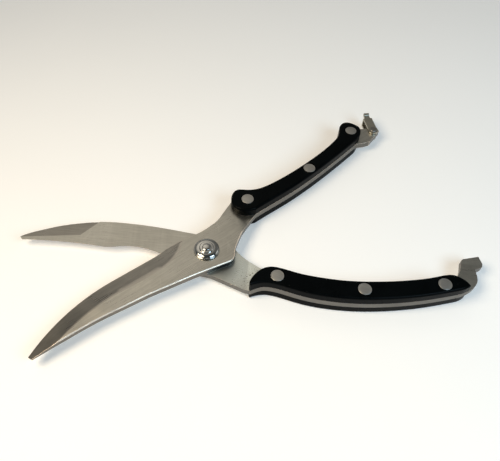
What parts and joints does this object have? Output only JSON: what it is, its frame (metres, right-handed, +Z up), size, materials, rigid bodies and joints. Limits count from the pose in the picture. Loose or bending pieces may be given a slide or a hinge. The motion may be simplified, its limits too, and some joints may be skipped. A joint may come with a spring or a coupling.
{
  "type": "poultry shears",
  "caption": "Spring-loaded poultry shears with crossed curved steel blades, a bone notch, riveted black grips, a dome-nut pivot and a swinging latch at the handle ends.",
  "frame": {"origin": "centre of the open shears' bounding box in plan, at the height of the flat undersides of the handles", "axes": "+X from the blade tips towards the handles, along the bisector of the open halves; +Y towards the front half's handle, which carries the latch; +Z up along the pivot, towards the dome nut"},
  "size_m": [0.2368, 0.1382, 0.014],
  "materials": {
    "blade_steel": "fine cross-brushed stainless steel",
    "grip_plastic": "glossy black acetal",
    "rivet_alloy": "satin ground flush",
    "nut_chrome": "mirror polished",
    "small_steel": "pressed and tumbled",
    "spring_wire": "drawn wire"
  },
  "bodies": {
    "rear_half": {"rear_blade": "blade_steel", "rear_scale_top": "grip_plastic", "rear_scale_under": "grip_plastic", "rear_rivet_1_male": "rivet_alloy", "rear_rivet_1_female": "rivet_alloy", "rear_rivet_2_male": "rivet_alloy", "rear_rivet_2_female": "rivet_alloy", "rear_rivet_3_male": "rivet_alloy", "rear_rivet_3_female": "rivet_alloy", "pivot_bolt": "small_steel", "pivot_washer": "small_steel", "pivot_nut": "nut_chrome", "stop_pin": "small_steel", "return_spring": "spring_wire"},
    "front_half": {"front_blade": "blade_steel", "front_scale_top": "grip_plastic", "front_scale_under": "grip_plastic", "front_rivet_1_male": "rivet_alloy", "front_rivet_1_female": "rivet_alloy", "front_rivet_2_male": "rivet_alloy", "front_rivet_2_female": "rivet_alloy", "front_rivet_3_male": "rivet_alloy", "front_rivet_3_female": "rivet_alloy", "latch_pin": "small_steel"},
    "latch": {"latch_stirrup": "small_steel"}
  },
  "joints": [
    {"name": "blade_pivot", "type": "hinge", "parent": "rear_half", "child": "front_half", "pos_m": [-0.02136, -0.01076, 0.007], "axis": [0, 0, -1], "range_deg": [0, 42.1], "stiffness_Nm_per_rad": 0.4, "springref_deg": -14.32, "deforming": ["return_spring"]},
    {"name": "latch_pivot", "type": "hinge", "parent": "front_half", "child": "latch", "pos_m": [0.10496, 0.05414, 0.007], "axis": [0, 0, -1], "range_deg": [0, 133.4]}
  ]
}
